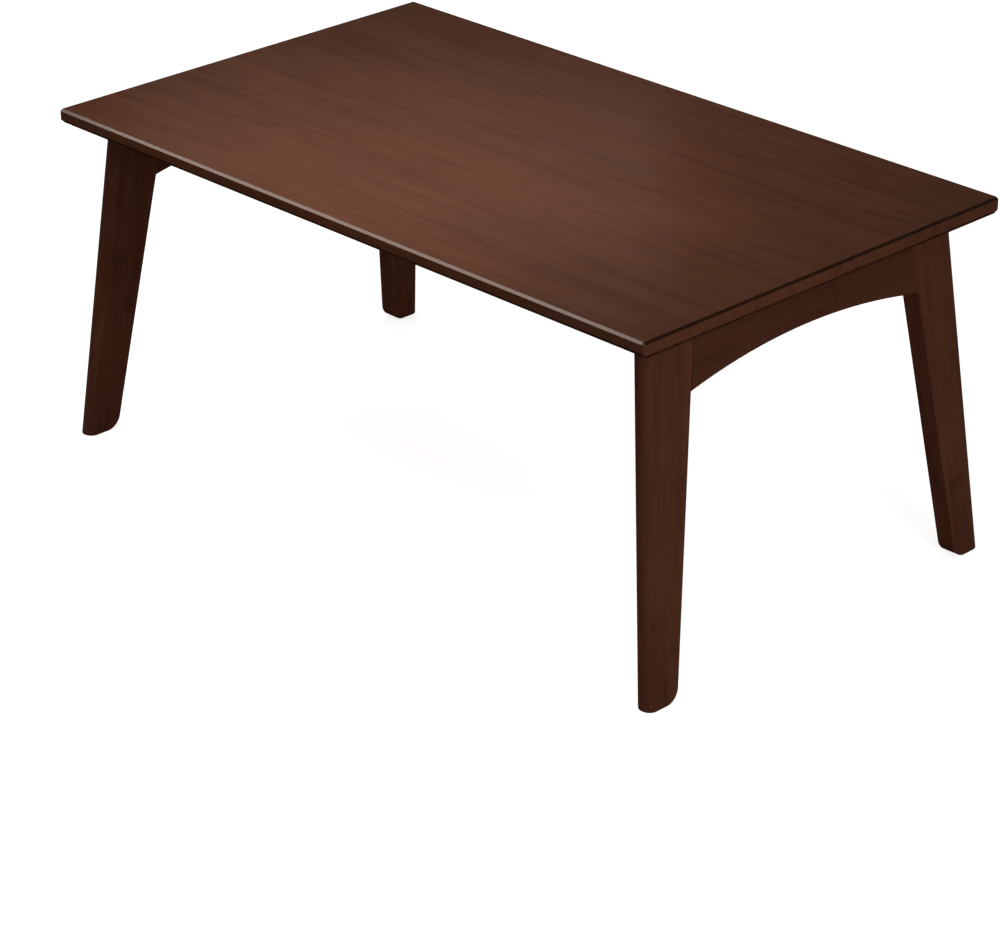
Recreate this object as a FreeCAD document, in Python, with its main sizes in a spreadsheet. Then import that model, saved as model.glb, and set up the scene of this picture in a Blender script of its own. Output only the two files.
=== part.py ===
"""Folding low table: a bamboo top on two leg frames that hinge flat against its underside.

The table stands at rest. X runs along the long side, Y along the short side, Z is up, and the
origin is on the floor under the middle of the top. "right" is the +X end, "rear" is the +Y side.
"""
import FreeCAD, Part
import os
import re
import Sketcher

# Knuckles of a hinge, shared in turn by its two leaves, the table leaf at both ends
KNUCKLE_COUNT = 5

# Driving sizes, in millimetres, with lean_angle in degrees
SIZES = {
    "top_width": 482,
    "top_thickness": 16,
    "top_corner_radius": 3,
    "top_bevel": 2.4,
    "side_under_bevel": 5.4,
    "end_under_bevel_width": 1.5,
    "end_under_bevel_height": 3.4,
    "table_height": 362,
    "lean_angle": 6.4,
    "frame_thickness": 20,
    "feet_gap": 2.2,
    "top_end_margin": 51.8,
    "leg_inset": 34,
    "foot_spread": 27,
    "leg_top_width": 61,
    "leg_foot_width": 37,
    "leg_side_round": 9.6,
    "foot_round": 16,
    "wood_ease": 0.8,
    "rail_middle_height": 47,
    "rail_end_height": 64,
    "dowel_radius": 4,
    "dowel_length": 40,
    "dowel_chamfer": 1,
    "dowel_upper_depth": 25,
    "dowel_lower_depth": 47,
    "dowel_clearance": 0.05,
    "hinge_length": 63.5,
    "hinge_margin": 4,
    "leaf_width": 18,
    "leaf_thickness": 1.2,
    "leaf_corner_radius": 2,
    "knuckle_radius": 2.5,
    "knuckle_clearance": 0.3,
    "knuckle_gap": 0.2,
    "hinge_pin_radius": 1.25,
    "hinge_pin_clearance": 0.05,
    "pin_head_radius": 1.9,
    "pin_head_height": 0.5,
    "hinge_screw_radius": 1.5,
    "hinge_screw_head_radius": 2.7,
    "hinge_screw_length": 11,
    "hinge_screw_tip": 3,
    "hinge_screw_pitch": 23,
    "hinge_screw_near_row": 8,
    "hinge_screw_far_row": 12.5,
    "cross_slot_width": 0.7,
    "cross_slot_length": 3,
    "cross_slot_depth": 0.8,
    "screw_clearance": 0.05,
    "strip_width": 39,
    "strip_thickness": 7.5,
    "strip_clearance": 0.3,
    "block_length": 92,
    "block_inset": 2,
    "strip_screw_pitch": 65,
    "strip_screw_radius": 2.2,
    "strip_screw_head_radius": 4.3,
    "strip_screw_head_height": 2.6,
    "strip_screw_sink": 1.6,
    "strip_screw_bite": 10,
    "strip_screw_tip": 4,
    "hex_socket_radius": 1.8,
    "hex_socket_depth": 1.6,
    "hole_floor_clearance": 0.5,
    "cut_overrun": 12,
}

# Sizes that follow from the driving ones; every name below is a cell of the same sheet
DERIVED = {
    # from the hinge axis to the underside, and to the inner face of a leg frame
    "knuckle_reach": "knuckle_radius + knuckle_clearance",
    "hinge_offset": "knuckle_reach",
    "underside_height": "table_height - top_thickness",
    "axis_height": "underside_height - hinge_offset",
    # the folded feet just clear each other at the middle, so a frame's reach sets the top's length
    "leg_reach": "(axis_height + (hinge_offset + frame_thickness) * sin(lean_angle)) / cos(lean_angle)",
    "axis_x": "leg_reach + feet_gap / 2",
    "top_length": "2 * (axis_x + top_end_margin)",
    "leg_top_out": "top_width / 2 - leg_inset",
    "leg_foot_out": "leg_top_out + foot_spread",
    "leg_top_in": "leg_top_out - leg_top_width",
    "leg_foot_in": "leg_foot_out - leg_foot_width",
    "out_slope": "(leg_foot_out - leg_top_out) / leg_reach",
    "in_slope": "(leg_foot_in - leg_top_in) / leg_reach",
    "joint_turn": "atan(in_slope) / 1 deg",
    "rail_end_half": "leg_top_in + in_slope * rail_end_height",
    "arch_rise": "rail_end_height - rail_middle_height",
    "arch_radius": "(rail_end_half ^ 2 + arch_rise ^ 2) / (2 * arch_rise)",
    # the rail is shaped over-long, then cut along the legs' inner sides
    "blank_half": "rail_end_half + cut_overrun",
    "blank_end_height": "rail_middle_height + arch_radius - sqrt(arch_radius ^ 2 - blank_half ^ 2)",
    "frame_middle": "hinge_offset + frame_thickness / 2",
    "hinge_middle": "leg_top_in - hinge_margin - hinge_length / 2",
    "knuckle_length": "hinge_length / %d" % KNUCKLE_COUNT,
    "leaf_inside": "hinge_offset - leaf_thickness",
    "leaf_root": "sqrt(knuckle_radius ^ 2 - leaf_inside ^ 2)",
    "hinge_hole_radius": "hinge_screw_radius + screw_clearance",
    "hinge_hole_depth": "hinge_screw_length - leaf_thickness + hole_floor_clearance",
    # the folded frame lies between the underside and the strip
    "strip_depth": "2 * hinge_offset + frame_thickness + strip_clearance",
    "strip_rail_drop": "(strip_depth - hinge_offset + hinge_offset * sin(lean_angle)) / cos(lean_angle)",
    "rail_inside_x": "axis_x + strip_rail_drop * sin(lean_angle) + hinge_offset * cos(lean_angle)",
    "strip_half": "rail_inside_x - strip_clearance",
    "strip_hole_radius": "strip_screw_radius + screw_clearance",
    "strip_screw_length": "strip_thickness - strip_screw_sink + strip_depth + strip_screw_bite",
}

SIDES = (("right", 1), ("left", -1))
ENDS = (("front", -1), ("rear", 1))
WORD = re.compile(r"[a-z][a-z_]+")
SAME_PLACE = 0.001

doc = FreeCAD.newDocument("folding_low_table")
sheet = doc.addObject("Spreadsheet::Sheet", "Sizes")
nodes = []


def fill_sheet():
    """Write the driving sizes as plain numbers and the derived ones as formulas."""
    rows = list(SIZES.items()) + [(name, "=" + text) for name, text in DERIVED.items()]
    for row, (name, content) in enumerate(rows, start=1):
        sheet.set("A%d" % row, name)
        sheet.set("B%d" % row, str(content))
        sheet.setAlias("B%d" % row, name)
    doc.recompute()


def formula(text):
    """The text as an expression that other objects can use: sizes are cells of the sheet."""
    return WORD.sub(lambda found: sheet_name(found.group()), text)


def sheet_name(word):
    return "Sizes." + word if word in SIZES or word in DERIVED else word


def value(text):
    result = sheet.evalExpression(str(text))
    return float(getattr(result, "Value", result))


def bind(owner, prop, text):
    owner.setExpression(prop, formula(text))


def node(owner):
    """Keep an object as one sub-part of the table."""
    owner.Label = owner.Name
    nodes.append(owner)
    return owner


def place(owner, where, turn=("0", "0", "0")):
    """Bind the placement to a point and to yaw, pitch and roll."""
    bind(owner, "Placement", "placement(vector(%s; %s; %s); rotation(%s; %s; %s))" % (*where, *turn))


def in_frame(owner, side):
    """Place what was drawn in a leg frame's own plane: x across, y up the frame, z outwards."""
    yaw = "90" if side > 0 else "270"
    place(owner, ("%d * axis_x" % side, "0", "axis_height"), (yaw, "0", "90 - lean_angle"))


def new_body(name):
    return doc.addObject("PartDesign::Body", name)


def new_sketch(body, role, name, lift="0"):
    """A sketch on one of the body's own origin planes, lifted along the plane's normal."""
    drawing = body.newObject("Sketcher::SketchObject", name)
    plane = next(item for item in body.Origin.OriginFeatures if item.Role == role)
    drawing.AttachmentSupport = [(plane, "")]
    drawing.MapMode = "FlatFace"
    bind(drawing, "AttachmentOffset.Base.z", lift)
    return drawing


def pin_point(drawing, geometry, which, x, y):
    """Tie one point of a sketch to two formulas."""
    for kind, text in (("DistanceX", x), ("DistanceY", y)):
        index = drawing.addConstraint(Sketcher.Constraint(kind, -1, 1, geometry, which, value(text)))
        bind(drawing, "Constraints[%d]" % index, text)


def draw_outline(drawing, corners):
    """Draw straight lines round the corners and back to the first."""
    places = [FreeCAD.Vector(value(x), value(y), 0) for x, y in corners]
    first = len(drawing.Geometry)
    count = len(corners)
    for index in range(count):
        drawing.addGeometry(Part.LineSegment(places[index], places[(index + 1) % count]), False)
    for index in range(count):
        following = first + (index + 1) % count
        drawing.addConstraint(Sketcher.Constraint("Coincident", first + index, 2, following, 1))
        pin_point(drawing, first + index, 1, *corners[index])


def draw_arc_outline(drawing, corners, through, radius):
    """Straight lines from corner to corner, closed by an arc that runs anticlockwise back to the first."""
    places = [FreeCAD.Vector(value(x), value(y), 0) for x, y in corners]
    for start, stop in zip(places, places[1:]):
        drawing.addGeometry(Part.LineSegment(start, stop), False)
    middle = FreeCAD.Vector(value(through[0]), value(through[1]), 0)
    arc = drawing.addGeometry(Part.Arc(places[-1], middle, places[0]), False)
    last = len(corners) - 2
    for line in range(last):
        drawing.addConstraint(Sketcher.Constraint("Coincident", line, 2, line + 1, 1))
    for line in range(last + 1):
        pin_point(drawing, line, 1, *corners[line])
    pin_point(drawing, last, 2, *corners[-1])
    drawing.addConstraint(Sketcher.Constraint("Coincident", last, 2, arc, 1))
    drawing.addConstraint(Sketcher.Constraint("Coincident", 0, 1, arc, 2))
    size = drawing.addConstraint(Sketcher.Constraint("Radius", arc, value(radius)))
    bind(drawing, "Constraints[%d]" % size, radius)


def draw_circle(drawing, x, y, radius):
    centre = FreeCAD.Vector(value(x), value(y), 0)
    index = drawing.addGeometry(Part.Circle(centre, FreeCAD.Vector(0, 0, 1), value(radius)), False)
    pin_point(drawing, index, 3, x, y)
    size = drawing.addConstraint(Sketcher.Constraint("Radius", index, value(radius)))
    bind(drawing, "Constraints[%d]" % size, radius)


def box_corners(half_x, half_y):
    return [("-(%s)" % half_x, "-(%s)" % half_y), (half_x, "-(%s)" % half_y),
            (half_x, half_y), ("-(%s)" % half_x, half_y)]


def pad(body, drawing, length, both_ways=False):
    feature = body.newObject("PartDesign::Pad", drawing.Name + "_pad")
    feature.Profile = drawing
    feature.SideType = "Symmetric" if both_ways else "One side"
    bind(feature, "Length", length)
    doc.recompute()
    return feature


def pocket(body, drawing, length, both_ways=False):
    """Cut along the sketch's normal, or as far to both sides of it."""
    before = body.Shape.Volume
    feature = body.newObject("PartDesign::Pocket", drawing.Name + "_pocket")
    feature.Profile = drawing
    feature.SideType = "Symmetric" if both_ways else "One side"
    feature.Reversed = not both_ways
    bind(feature, "Length", length)
    doc.recompute()
    if body.Shape.Volume >= before:
        raise RuntimeError(feature.Name + " cuts nothing")
    return feature


def revolve(body, drawing, axis):
    feature = body.newObject("PartDesign::Revolution", drawing.Name + "_turn")
    feature.Profile = drawing
    feature.ReferenceAxis = (drawing, [axis])
    feature.Angle = 360
    doc.recompute()
    return feature


def edges_of(feature, test):
    return ["Edge%d" % index for index, edge in enumerate(feature.Shape.Edges, start=1) if test(edge)]


def lies_at(edge, axis, spot):
    """True if every corner of the edge has this coordinate."""
    return all(abs(getattr(corner.Point, axis) - spot) < SAME_PLACE for corner in edge.Vertexes)


def is_upright(edge):
    """True if the edge runs along z."""
    start, stop = (corner.Point for corner in edge.Vertexes)
    return abs(start.x - stop.x) < SAME_PLACE and abs(start.y - stop.y) < SAME_PLACE


def round_edges(body, name, test, radius):
    base = body.Tip
    feature = body.newObject("PartDesign::Fillet", name)
    feature.Base = (base, edges_of(base, test))
    bind(feature, "Radius", radius)
    doc.recompute()
    return feature


def bevel_edges(body, name, test, size):
    """Chamfer edges by the same size along both faces."""
    base = body.Tip
    feature = body.newObject("PartDesign::Chamfer", name)
    feature.Base = (base, edges_of(base, test))
    bind(feature, "Size", size)
    doc.recompute()
    return feature


def bore(body, name, radius, length, where, turn=("0", "0", "0"), far_radius=None):
    """Cut a round or tapered hole that starts at a point and runs along its own z."""
    before = body.Shape.Volume
    kind = "Cylinder" if far_radius is None else "Cone"
    feature = body.newObject("PartDesign::Subtractive" + kind, name)
    if far_radius is None:
        bind(feature, "Radius", radius)
    else:
        bind(feature, "Radius1", radius)
        bind(feature, "Radius2", far_radius)
    bind(feature, "Height", length)
    place(feature, where, turn)
    doc.recompute()
    if body.Shape.Volume >= before:
        raise RuntimeError(name + " cuts nothing")
    return feature


def group(name, master, wheres):
    """One node of identical pieces: linked copies of the master, each at its own placement."""
    copies = []
    for index, (where, turn) in enumerate(wheres, start=1):
        copy = doc.addObject("App::Link", "%s_%d" % (name, index))
        copy.LinkedObject = master
        place(copy, where, turn)
        copies.append(copy)
    compound = doc.addObject("Part::Compound", name)
    compound.Links = copies
    return node(compound)


# Tabletop

def make_tabletop():
    """A board with rounded corners, bevelled above and below, with blind screw holes."""
    body = new_body("tabletop")
    plan = new_sketch(body, "XY_Plane", "tabletop_plan")
    draw_outline(plan, box_corners("top_length / 2", "top_width / 2"))
    pad(body, plan, "top_thickness")
    round_edges(body, "tabletop_corners", is_upright, "top_corner_radius")
    bevel_edges(body, "tabletop_bevel", lambda edge: lies_at(edge, "z", value("top_thickness")),
                "top_bevel")
    cut_under_bevel(body, "YZ_Plane", "tabletop_side_under_bevel", "top_width / 2",
                    "side_under_bevel", "side_under_bevel", "top_length / 2")
    cut_under_bevel(body, "XZ_Plane", "tabletop_end_under_bevel", "top_length / 2",
                    "end_under_bevel_width", "end_under_bevel_height", "top_width / 2")
    hinge_holes = new_sketch(body, "XY_Plane", "tabletop_hinge_holes")
    for _, side in SIDES:
        for _, end in ENDS:
            for along, row in leaf_screw_spots():
                x = "%d * (axis_x - %s)" % (side, row)
                y = "%d * hinge_middle + %s" % (end, along)
                draw_circle(hinge_holes, x, y, "hinge_hole_radius")
    pocket(body, hinge_holes, "hinge_hole_depth")
    strip_holes = new_sketch(body, "XY_Plane", "tabletop_strip_holes")
    draw_strip_holes(strip_holes, "strip_hole_radius")
    pocket(body, strip_holes, "strip_screw_bite + hole_floor_clearance")
    place(body, ("0", "0", "underside_height"))
    return node(body)


def cut_under_bevel(body, role, name, half, width, height, reach):
    """Plane off the lower edge of two opposite sides; the waste runs past the board on every side."""
    waste = new_sketch(body, role, name)
    for hand in (1, -1):
        inner = "%d * (%s - 2 * %s)" % (hand, half, width)
        outer = "%d * (%s + %s)" % (hand, half, width)
        draw_outline(waste, [(inner, "-" + height), (outer, "-" + height), (outer, "2 * " + height)])
    pocket(body, waste, "2 * (%s + cut_overrun)" % reach, both_ways=True)


# Leg frames, drawn in the frame's own plane with the hinge axis at the origin

def end_plane(height, lift):
    """Place along the frame, at this lift from the axis, of a level plane at this height over the axis."""
    return "((%s) - (%s) * sin(lean_angle)) / cos(lean_angle)" % (height, lift)


def cut_ends(body, name, with_sole):
    """Cut a frame member level at the underside and, for a leg, level at the floor."""
    inner = "hinge_offset - cut_overrun"
    outer = "hinge_offset + frame_thickness + cut_overrun"
    waste = new_sketch(body, "YZ_Plane", name + "_ends")
    top = "hinge_offset"
    draw_outline(waste, [(end_plane(top, inner), inner), (end_plane(top, outer), outer),
                         ("2 * cut_overrun", outer), ("2 * cut_overrun", inner)])
    if with_sole:
        floor = "-axis_height"
        beyond = "-(leg_reach + 2 * cut_overrun)"
        draw_outline(waste, [(end_plane(floor, inner), inner), (end_plane(floor, outer), outer),
                             (beyond, outer), (beyond, inner)])
    pocket(body, waste, "2 * (leg_foot_out + cut_overrun)", both_ways=True)


def joint_bores(body, name, hand, in_leg):
    """Holes for one member's half of the two dowels of a joint."""
    reach = "dowel_length / 2 + hole_floor_clearance"
    for label, depth in (("upper", "dowel_upper_depth"), ("lower", "dowel_lower_depth")):
        where, turn = dowel_place(hand, depth, "cut_overrun" if in_leg else reach)
        bore(body, "%s_%s_dowel_hole" % (name, label), "dowel_radius + dowel_clearance",
             reach + " + cut_overrun", where, turn)


def dowel_place(hand, depth, back):
    """Point on the joint line at this depth, moved back along the dowel, and the dowel's direction."""
    x = "%d * (leg_top_in + in_slope * %s - (%s) * cos(joint_turn))" % (hand, depth, back)
    y = "-(%s) - (%s) * sin(joint_turn)" % (depth, back)
    yaw = "joint_turn" if hand > 0 else "180 - joint_turn"
    return (x, y, "frame_middle"), (yaw, "90", "0")


def make_leg(name, side, end):
    """A tapered leg: half round on its outer side, its foot rounded inwards and cut level."""
    body = new_body(name)
    hand = side * end
    face = new_sketch(body, "XY_Plane", name + "_face", "hinge_offset")
    above = "cut_overrun"
    below = "-(leg_reach + cut_overrun)"
    corners = []
    for start, slope, level in (("leg_top_in", "in_slope", above), ("leg_top_out", "out_slope", above),
                                ("leg_top_out", "out_slope", below), ("leg_top_in", "in_slope", below)):
        corners.append(("%d * (%s - %s * (%s))" % (hand, start, slope, level), level))
    draw_outline(face, corners)
    pad(body, face, "frame_thickness")
    cut_ends(body, name, with_sole=True)
    round_edges(body, name + "_side", lambda edge: is_long(edge) and on_outer_side(edge, hand),
                "leg_side_round")
    round_edges(body, name + "_foot", lambda edge: is_toe(edge, hand), "foot_round")
    round_edges(body, name + "_ease", lambda edge: is_long(edge) and not on_outer_side(edge, hand),
                "wood_ease")
    joint_bores(body, name, hand, in_leg=True)
    in_frame(body, side)
    return node(body)


def is_long(edge):
    """True for an edge that runs most of the way down a leg."""
    return edge.BoundBox.YLength > value("leg_reach - foot_round - 2 * cut_overrun")


def on_outer_side(edge, hand):
    """Whether an edge lies beyond the middle of the leg's width."""
    point = edge.Vertexes[0].Point
    middle = value("leg_top_out - leg_top_width / 2") - point.y * value("(out_slope + in_slope) / 2")
    return hand * point.x > middle


def is_toe(edge, hand):
    """True for the edge between the sole and the leg's inner side."""
    x = value("leg_foot_in")
    close = value("leg_foot_width / 4")
    point = edge.CenterOfMass
    near = abs(hand * point.x - x) < close and abs(point.y + value("leg_reach")) < close
    return near and edge.BoundBox.ZLength > value("frame_thickness / 2")


def make_rail(name, side):
    """The apron rail between two legs, its lower edge one long arch."""
    body = new_body(name)
    face = new_sketch(body, "XY_Plane", name + "_face", "hinge_offset")
    corners = [("-blank_half", "-blank_end_height"), ("-blank_half", "cut_overrun"),
               ("blank_half", "cut_overrun"), ("blank_half", "-blank_end_height")]
    draw_arc_outline(face, corners, ("0", "-rail_middle_height"), "arch_radius")
    pad(body, face, "frame_thickness")
    cut_ends(body, name, with_sole=False)
    bevel_edges(body, name + "_ease", is_arch, "wood_ease")
    joints = new_sketch(body, "XY_Plane", name + "_joints")
    above = "2 * cut_overrun"
    below = "-(blank_end_height + cut_overrun)"
    beyond = "(blank_half + cut_overrun)"
    for hand in (1, -1):
        draw_outline(joints, [(joint_line(hand, above), above), (joint_line(hand, below), below),
                              ("%d * %s" % (hand, beyond), below), ("%d * %s" % (hand, beyond), above)])
    pocket(body, joints, "2 * (hinge_offset + frame_thickness + cut_overrun)", both_ways=True)
    holes = new_sketch(body, "XY_Plane", name + "_hinge_holes", "hinge_offset")
    for _, end in ENDS:
        for along, row in leaf_screw_spots():
            draw_circle(holes, "%d * hinge_middle + %s" % (end, along), "-(%s)" % row, "hinge_hole_radius")
    pocket(body, holes, "hinge_hole_depth")
    for label, hand in (("far", 1), ("near", -1)):
        joint_bores(body, "%s_%s" % (name, label), hand, in_leg=False)
    in_frame(body, side)
    return node(body)


def joint_line(hand, level):
    """Place across the frame, at this level, of a leg's inner side."""
    return "%d * (leg_top_in - in_slope * (%s))" % (hand, level)


def is_arch(edge):
    """True for the two long curved edges of a rail."""
    return edge.Curve.TypeId == "Part::GeomCircle" and edge.BoundBox.XLength > value("rail_end_half")


def make_dowels(name, side, end):
    hand = side * end
    depths = ("dowel_upper_depth", "dowel_lower_depth")
    dowels = group(name, dowel, [dowel_place(hand, depth, "dowel_length / 2") for depth in depths])
    in_frame(dowels, side)
    return dowels


def make_dowel():
    """A straight dowel with chamfered ends, drawn along z."""
    body = new_body("dowel_pattern")
    half = new_sketch(body, "XZ_Plane", "dowel_half")
    end = "(dowel_radius - dowel_chamfer)"
    draw_outline(half, [("0", "0"), (end, "0"), ("dowel_radius", "dowel_chamfer"),
                        ("dowel_radius", "dowel_length - dowel_chamfer"), (end, "dowel_length"),
                        ("0", "dowel_length")])
    revolve(body, half, "V_Axis")
    return body


# Hinges, drawn with the pin along x, the leaf along y and its wooden face above it

def leaf_screw_spots():
    """Place along the hinge and distance from the pin of a leaf's three screws."""
    return (("-hinge_screw_pitch", "hinge_screw_near_row"), ("0", "hinge_screw_far_row"),
            ("hinge_screw_pitch", "hinge_screw_near_row"))


def make_leaf(name, own_knuckles, side, end, turn):
    """A stamped leaf curled round the pin, which keeps only its own knuckles."""
    body = new_body(name)
    section = new_sketch(body, "YZ_Plane", name + "_section")
    draw_leaf_section(section)
    pad(body, section, "hinge_length", both_ways=True)
    round_edges(body, name + "_corners", is_leaf_corner, "leaf_corner_radius")
    notches = new_sketch(body, "XY_Plane", name + "_notches")
    for index in range(KNUCKLE_COUNT):
        if index not in own_knuckles:
            draw_notch(notches, index)
    pocket(body, notches, "2 * (hinge_offset + cut_overrun)", both_ways=True)
    for index, (along, row) in enumerate(leaf_screw_spots(), start=1):
        bore(body, "%s_countersink_%d" % (name, index), "hinge_screw_head_radius + screw_clearance",
             "leaf_thickness", (along, row, "leaf_inside"), far_radius="hinge_hole_radius")
    place(body, ("%d * axis_x" % side, "%d * hinge_middle" % end, "axis_height"), turn)
    return node(body)


def is_leaf_corner(edge):
    return lies_at(edge, "y", value("leaf_width")) and edge.BoundBox.ZLength > SAME_PLACE


def draw_leaf_section(drawing):
    """Flat leaf, open curl round the pin and the pin's bore."""
    corners = [("leaf_root", "leaf_inside"), ("leaf_width", "leaf_inside"), ("leaf_width", "hinge_offset"),
               ("0", "hinge_offset"), ("0", "knuckle_radius")]
    draw_arc_outline(drawing, corners, ("-knuckle_radius", "0"), "knuckle_radius")
    draw_circle(drawing, "0", "0", "hinge_pin_radius + hinge_pin_clearance")


def draw_notch(drawing, index):
    """Room for one knuckle of the other leaf, with a small gap at each end of it."""
    left = "-hinge_length / 2 + %d * knuckle_length - knuckle_gap" % index
    right = "-hinge_length / 2 + %d * knuckle_length + knuckle_gap" % (index + 1)
    if index == 0:
        left = "-hinge_length / 2 - cut_overrun"
    if index == KNUCKLE_COUNT - 1:
        right = "hinge_length / 2 + cut_overrun"
    back = "-knuckle_reach - cut_overrun"
    draw_outline(drawing, [(left, back), (right, back), (right, "knuckle_reach"), (left, "knuckle_reach")])


def make_hinge_pin(name, side, end):
    """The pin, headed at both ends against the outer knuckles."""
    body = new_body(name)
    half = new_sketch(body, "XY_Plane", name + "_half")
    reach = "hinge_length / 2"
    tip = "(%s + pin_head_height)" % reach
    corners = [("-" + tip, "0"), ("-" + tip, "pin_head_radius"), ("-%s" % reach, "pin_head_radius"),
               ("-%s" % reach, "hinge_pin_radius"), (reach, "hinge_pin_radius"), (reach, "pin_head_radius"),
               (tip, "pin_head_radius"), (tip, "0")]
    draw_outline(half, corners)
    revolve(body, half, "H_Axis")
    place(body, ("%d * axis_x" % side, "%d * hinge_middle" % end, "axis_height"), table_leaf_turn(side))
    return node(body)


def table_leaf_turn(side):
    return ("90" if side > 0 else "270", "0", "0")


def frame_leaf_turn(side):
    return ("270" if side > 0 else "90", "0", "lean_angle - 90")


def make_hinge_screw():
    """A countersunk wood screw with a cross slot, drawn along z from its flat head."""
    body = new_body("hinge_screw_pattern")
    half = new_sketch(body, "XZ_Plane", "hinge_screw_half")
    draw_outline(half, [("0", "0"), ("hinge_screw_head_radius", "0"),
                        ("hinge_screw_radius", "leaf_thickness"),
                        ("hinge_screw_radius", "hinge_screw_length - hinge_screw_tip"),
                        ("0", "hinge_screw_length")])
    revolve(body, half, "V_Axis")
    for name, half_x, half_y in (("long", "cross_slot_length / 2", "cross_slot_width / 2"),
                                 ("cross", "cross_slot_width / 2", "cross_slot_length / 2")):
        slot = new_sketch(body, "XY_Plane", "hinge_screw_slot_" + name)
        draw_outline(slot, box_corners(half_x, half_y))
        pocket(body, slot, "cross_slot_depth")
    return body


def make_leaf_screws(name, side, end, turn):
    spots = [((along, row, "leaf_inside"), ("0", "0", "0")) for along, row in leaf_screw_spots()]
    screws = group(name, hinge_screw, spots)
    place(screws, ("%d * axis_x" % side, "%d * hinge_middle" % end, "axis_height"), turn)
    return screws


def make_hinge(corner, side, end):
    table_turn = table_leaf_turn(side)
    frame_turn = frame_leaf_turn(side)
    make_leaf(corner + "_hinge_table_leaf", range(0, KNUCKLE_COUNT, 2), side, end, table_turn)
    make_leaf(corner + "_hinge_frame_leaf", range(1, KNUCKLE_COUNT, 2), side, end, frame_turn)
    make_hinge_pin(corner + "_hinge_pin", side, end)
    make_leaf_screws(corner + "_table_leaf_screws", side, end, table_turn)
    make_leaf_screws(corner + "_frame_leaf_screws", side, end, frame_turn)


# Lock strip, the springy bar that holds the frames both open and folded

def draw_strip_holes(drawing, radius):
    for side in (1, -1):
        draw_circle(drawing, "%d * strip_screw_pitch / 2" % side, "0", radius)


def make_lock_strip():
    body = new_body("lock_strip")
    plan = new_sketch(body, "XY_Plane", "lock_strip_plan")
    draw_outline(plan, box_corners("strip_half", "strip_width / 2"))
    pad(body, plan, "strip_thickness")
    round_edges(body, "lock_strip_ease", lambda edge: edge.BoundBox.XLength > value("strip_half"),
                "wood_ease")
    through = new_sketch(body, "XY_Plane", "lock_strip_holes")
    draw_strip_holes(through, "strip_hole_radius")
    pocket(body, through, "strip_thickness + cut_overrun")
    sinks = new_sketch(body, "XY_Plane", "lock_strip_counterbores")
    draw_strip_holes(sinks, "strip_screw_head_radius + screw_clearance")
    pocket(body, sinks, "strip_screw_sink + strip_screw_head_height")
    place(body, ("0", "0", "underside_height - strip_depth - strip_thickness"))
    return node(body)


def make_spacer_block():
    body = new_body("strip_spacer_block")
    plan = new_sketch(body, "XY_Plane", "spacer_block_plan")
    draw_outline(plan, box_corners("block_length / 2", "strip_width / 2 - block_inset"))
    pad(body, plan, "strip_depth")
    holes = new_sketch(body, "XY_Plane", "spacer_block_holes")
    draw_strip_holes(holes, "strip_hole_radius")
    pocket(body, holes, "strip_depth + cut_overrun")
    place(body, ("0", "0", "underside_height - strip_depth"))
    return node(body)


def make_strip_screw():
    """A flat-headed screw with a hexagon socket, drawn along z from its head."""
    body = new_body("strip_screw_pattern")
    half = new_sketch(body, "XZ_Plane", "strip_screw_half")
    draw_outline(half, [("0", "0"), ("strip_screw_head_radius", "0"),
                        ("strip_screw_head_radius", "strip_screw_head_height"),
                        ("strip_screw_radius", "strip_screw_head_height"),
                        ("strip_screw_radius", "strip_screw_length - strip_screw_tip"),
                        ("0", "strip_screw_length")])
    revolve(body, half, "V_Axis")
    socket = new_sketch(body, "XY_Plane", "strip_screw_socket")
    draw_outline(socket, [("hex_socket_radius * cos(%d)" % turn, "hex_socket_radius * sin(%d)" % turn)
                          for turn in range(0, 360, 60)])
    pocket(body, socket, "hex_socket_depth")
    return body


def make_strip_screws():
    level = "underside_height - strip_depth - strip_thickness + strip_screw_sink"
    spots = [(("%d * strip_screw_pitch / 2" % side, "0", level), ("0", "0", "0")) for side in (1, -1)]
    return group("strip_screws", strip_screw, spots)


def check_and_write():
    """Stop on any failed object or bad shape, then write one file for each sub-part."""
    doc.recompute()
    for item in doc.Objects:
        if "Invalid" in item.State or "Error" in item.State:
            raise RuntimeError("%s failed: %s" % (item.Name, item.State))
    for item in nodes:
        if item.Shape.isNull() or not item.Shape.isValid():
            raise RuntimeError(item.Name + " has a bad shape")
    os.makedirs("parts", exist_ok=True)
    whole = FreeCAD.BoundBox()
    for item in nodes:
        item.Shape.exportStep("parts/%s.step" % item.Label)
        whole.add(item.Shape.BoundBox)
        print("%-34s %2d solid(s) %10.1f mm3" % (item.Label, len(item.Shape.Solids), item.Shape.Volume))
    print("%d nodes, %s" % (len(nodes), whole))


fill_sheet()
dowel = make_dowel()
hinge_screw = make_hinge_screw()
strip_screw = make_strip_screw()
make_tabletop()
make_spacer_block()
make_lock_strip()
make_strip_screws()
for side_name, side_sign in SIDES:
    make_rail(side_name + "_apron_rail", side_sign)
    for end_name, end_sign in ENDS:
        corner_name = "%s_%s" % (side_name, end_name)
        make_leg(corner_name + "_leg", side_sign, end_sign)
        make_dowels(corner_name + "_joint_dowels", side_sign, end_sign)
        make_hinge(corner_name, side_sign, end_sign)
check_and_write()
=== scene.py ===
import math
from collections import namedtuple

import bpy
from mathutils import Matrix, Vector


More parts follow.
